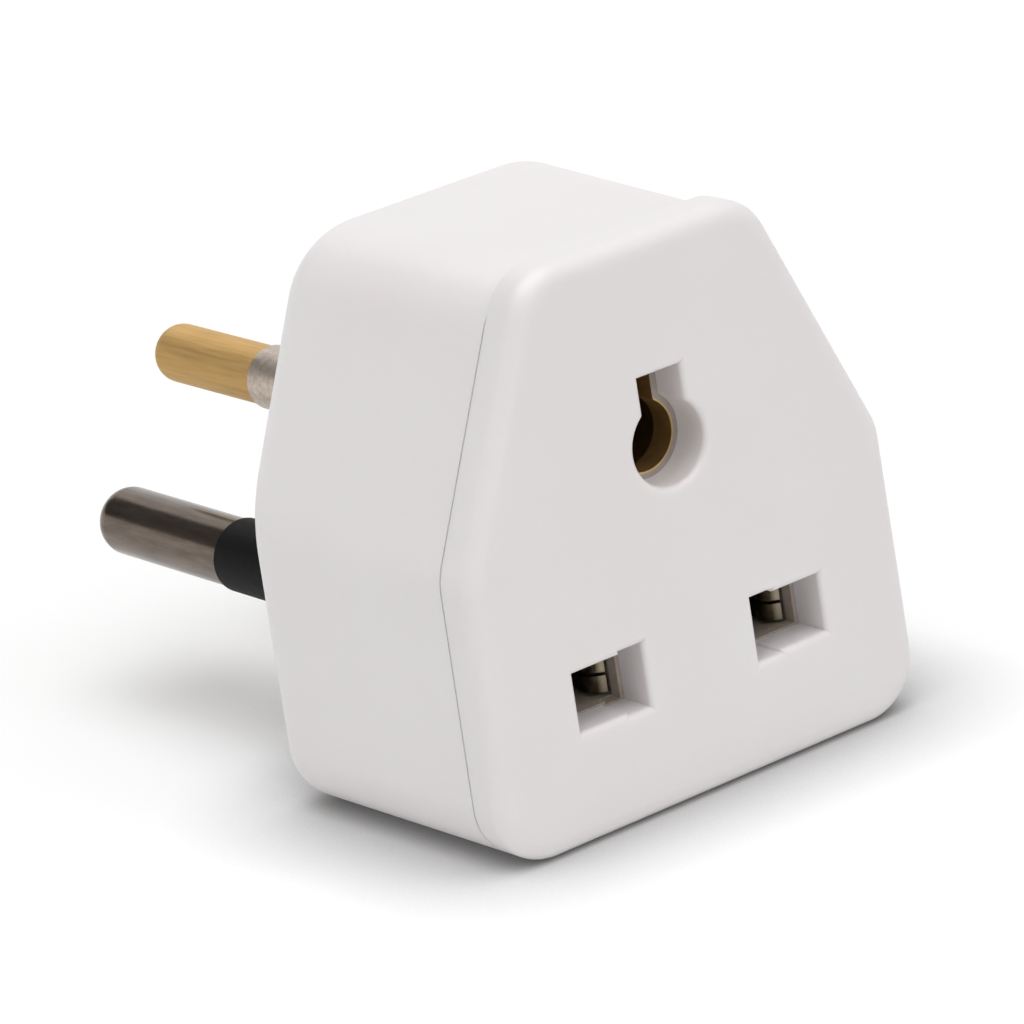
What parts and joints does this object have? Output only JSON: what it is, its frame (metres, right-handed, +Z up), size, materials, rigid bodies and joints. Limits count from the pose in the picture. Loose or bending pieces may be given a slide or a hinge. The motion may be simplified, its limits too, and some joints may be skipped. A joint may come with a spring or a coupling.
{
  "type": "travel adapter",
  "caption": "Moulded travel adapter with a keyhole earth opening and blade slots in front, and round sleeved pins behind.",
  "frame": {"origin": "on the surface that the adapter stands on, midway between the socket face and the tip of the earth pin", "axes": "+X right seen from the socket face, +Y from the socket face along the pins, +Z up"},
  "size_m": [0.0514, 0.0826, 0.0545],
  "materials": {
    "white_moulding": "satin moulded white",
    "carrier_moulding": "matt moulded off-white",
    "tarnished_contact": "tarnished plated brass strip",
    "contact_brass": "rolled brass sheet",
    "pin_brass": "drawn brass",
    "nickel_pin": "worn nickel plating on brass",
    "grey_collar": "dull plated steel",
    "spring_steel": "rolled spring steel",
    "screw_steel": "zinc plated",
    "black_sleeve": "satin moulded black"
  },
  "bodies": {
    "root": {"front_cover": "white_moulding", "rear_housing": "white_moulding", "contact_carrier": "carrier_moulding", "carrier_lid": "carrier_moulding", "line_contact": "tarnished_contact", "neutral_contact": "tarnished_contact", "line_contact_spring": "spring_steel", "neutral_contact_spring": "spring_steel", "earth_contact": "contact_brass", "earth_contact_spring": "spring_steel", "line_strap": "contact_brass", "neutral_strap": "contact_brass", "earth_strap": "contact_brass", "contact_rivets": "contact_brass", "line_pin": "nickel_pin", "neutral_pin": "nickel_pin", "earth_pin": "pin_brass", "line_pin_sleeve": "black_sleeve", "neutral_pin_sleeve": "black_sleeve", "earth_pin_collar": "grey_collar", "pin_washers": "spring_steel", "housing_screws": "screw_steel"}
  },
  "joints": []
}
